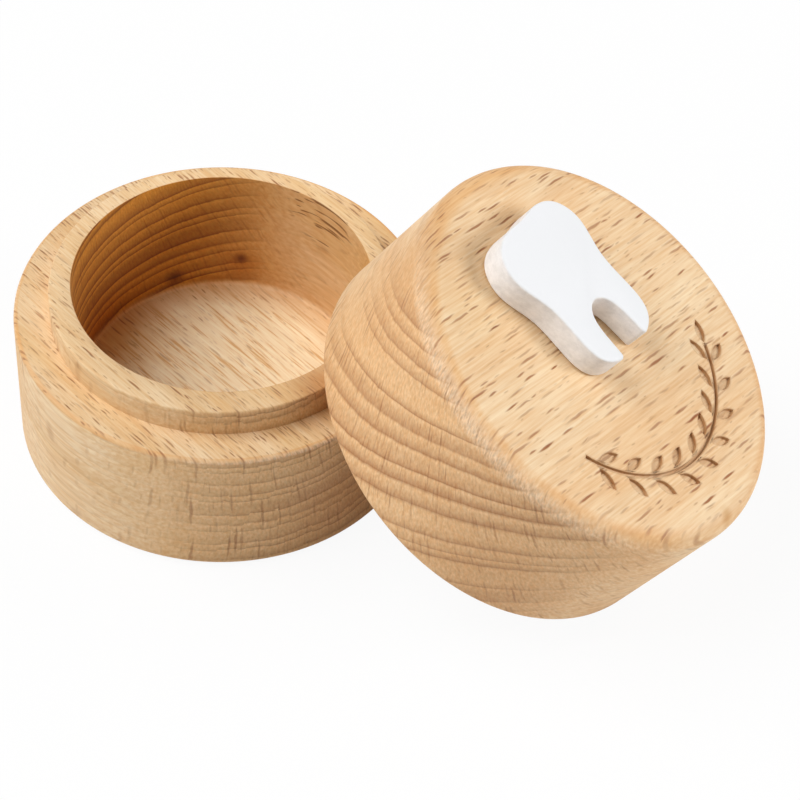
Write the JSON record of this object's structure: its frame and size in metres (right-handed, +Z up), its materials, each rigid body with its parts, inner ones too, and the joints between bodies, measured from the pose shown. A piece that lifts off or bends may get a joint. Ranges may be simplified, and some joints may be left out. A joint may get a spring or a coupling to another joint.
{
  "type": "baby tooth box",
  "caption": "Round turned wooden keepsake box for milk teeth, open: bored base with a raised rim, and a loose lid with a tooth ornament that leans on it.",
  "frame": {"origin": "middle of the base's foot, on the surface that the box stands on", "axes": "+Z up along the base's turning axis; the lid leans on the +X side, and the view that shows both halves looks along +Y"},
  "size_m": [0.0906, 0.0634, 0.0434],
  "materials": {
    "base_beech": "turned and fine-sanded beech",
    "lid_beech": "turned and fine-sanded beech with a burnt-in garland",
    "tooth_paint": "matt white paint on sawn board",
    "wood_glue": "dried wood glue"
  },
  "bodies": {
    "base": {"base": "base_beech"},
    "lid": {"lid": "lid_beech", "tooth_glue": "wood_glue", "tooth": "tooth_paint"}
  },
  "joints": [
    {"name": "lid_onto_base", "type": "hinge", "parent": "base", "child": "lid", "pos_m": [0.01805, -0.00259, 0.01794], "axis": [-0.2842, 0.0047, -0.9588], "range_deg": [0, 159.7]}
  ]
}
